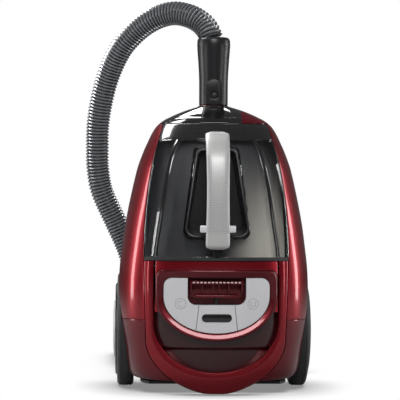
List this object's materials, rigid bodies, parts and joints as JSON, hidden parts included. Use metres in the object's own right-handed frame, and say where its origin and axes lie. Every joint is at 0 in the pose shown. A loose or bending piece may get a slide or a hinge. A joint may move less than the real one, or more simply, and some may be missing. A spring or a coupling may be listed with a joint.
{
  "type": "canister vacuum cleaner",
  "caption": "Bagless canister vacuum cleaner parked upright on its tail, with dust container, carry handle, wheels and a corrugated hose plugged into its nose.",
  "frame": {"origin": "on the floor under the middle of the machine as it stands parked on its tail, measured without the hose", "axes": "+Z from the tail up to the hose socket, -Y towards the upper side with the carry handle, +Y towards the belly, +X to the right seen from the handle side"},
  "size_m": [0.3551, 0.818, 0.5739],
  "materials": {
    "red": "gloss metallic lacquer",
    "dark_red": "satin gloss",
    "gloss_black": "gloss",
    "black": "fine moulded grain",
    "smoked": "clear smoked",
    "silver": "satin silver lacquer",
    "rubber": "matt",
    "tyre": "matt",
    "metal": "brushed",
    "motor": "cast",
    "beige": "satin",
    "filter": "pleated paper and felt",
    "board": "solder mask",
    "hose": "ribbed, satin gloss"
  },
  "bodies": {
    "casing": {"chassis": "black", "wheel_arches": "black", "inner_frame": "black", "caster_boss": "black", "tail_plate": "black", "flank_left": "red", "flank_right": "red", "corner_left": "dark_red", "corner_right": "dark_red", "rear_cover": "red", "control_bezel": "dark_red", "scoop_panel": "dark_red", "tail_bumper": "dark_red", "nose_cover": "gloss_black", "socket_collar": "dark_red", "centre_panel": "silver", "indicator_lens": "gloss_black", "control_springs": "metal", "motor_filter": "filter", "motor_seal": "rubber", "motor": "motor", "motor_mounts": "rubber", "drum_axle": "metal", "cord_outlet": "black", "circuit_board": "board", "exhaust_filter": "filter", "wheel_axles": "metal", "parking_feet": "rubber", "screws": "metal", "hose_connector": "black", "hose": "hose", "hose_cuff": "black", "hose_grip": "black", "wand_spigot": "metal"},
    "container": {"dust_container": "smoked", "container_lid": "gloss_black", "container_base": "black", "base_seal": "rubber", "finger_well": "gloss_black", "carry_handle": "silver", "trigger_spring": "metal", "cyclone_tube": "beige", "mesh_shroud": "metal"},
    "trigger": {"empty_trigger": "silver"},
    "latch": {"container_latch": "dark_red"},
    "power": {"power_button": "silver"},
    "rewind": {"rewind_button": "silver"},
    "fan": {"impeller": "motor"},
    "drum": {"cord_drum": "black"},
    "left_wheel": {"wheel_left": "black", "tyre_left": "tyre", "hubcap_left": "silver"},
    "right_wheel": {"wheel_right": "black", "tyre_right": "tyre", "hubcap_right": "silver"},
    "caster_swivel": {"caster_fork": "black", "caster_axle": "metal"},
    "caster_roll": {"caster_wheel": "rubber"},
    "connector_snap": {"connector_button": "black"},
    "air_slider": {"suction_slider": "black"}
  },
  "joints": [
    {"name": "container_lift", "type": "slide", "parent": "casing", "child": "container", "axis": [0, -1, 0], "range_m": [0, 0.18]},
    {"name": "trigger_press", "type": "slide", "parent": "container", "child": "trigger", "axis": [0, 0, -1], "range_m": [0, 0.005], "stiffness_N_per_m": 300, "springref_m": -0.002, "deforming": ["trigger_spring"]},
    {"name": "latch_press", "type": "slide", "parent": "casing", "child": "latch", "axis": [0, 0, -1], "range_m": [0, 0.004], "stiffness_N_per_m": 500, "springref_m": -0.002, "deforming": ["control_springs"]},
    {"name": "power_press", "type": "slide", "parent": "casing", "child": "power", "axis": [0, 1, 0], "range_m": [0, 0.003], "stiffness_N_per_m": 800, "springref_m": -0.001},
    {"name": "rewind_press", "type": "slide", "parent": "casing", "child": "rewind", "axis": [0, 1, 0], "range_m": [0, 0.003], "stiffness_N_per_m": 800, "springref_m": -0.001},
    {"name": "fan_spin", "type": "hinge", "parent": "casing", "child": "fan", "pos_m": [0.042, 0.022, 0.13], "axis": [0, 0, 1], "continuous": true},
    {"name": "drum_spin", "type": "hinge", "parent": "casing", "child": "drum", "pos_m": [-0.062, 0.022, 0.092], "axis": [1, 0, 0], "continuous": true},
    {"name": "left_wheel_spin", "type": "hinge", "parent": "casing", "child": "left_wheel", "pos_m": [-0.13, 0.051, 0.084], "axis": [1, 0, 0], "continuous": true},
    {"name": "right_wheel_spin", "type": "hinge", "parent": "casing", "child": "right_wheel", "pos_m": [0.13, 0.051, 0.084], "axis": [1, 0, 0], "continuous": true},
    {"name": "caster_turn", "type": "hinge", "parent": "casing", "child": "caster_swivel", "pos_m": [0, 0.11, 0.322], "axis": [0, 1, 0], "continuous": true},
    {"name": "caster_spin", "type": "hinge", "parent": "caster_swivel", "child": "caster_roll", "pos_m": [0, 0.125, 0.313], "axis": [1, 0, 0], "continuous": true},
    {"name": "snap_press", "type": "slide", "parent": "casing", "child": "connector_snap", "axis": [0, 1, 0], "range_m": [0, 0.0015], "stiffness_N_per_m": 800, "springref_m": -0.0005},
    {"name": "air_slide", "type": "slide", "parent": "casing", "child": "air_slider", "axis": [0.4226, -0.9063, 0], "range_m": [0, 0.018]}
  ]
}
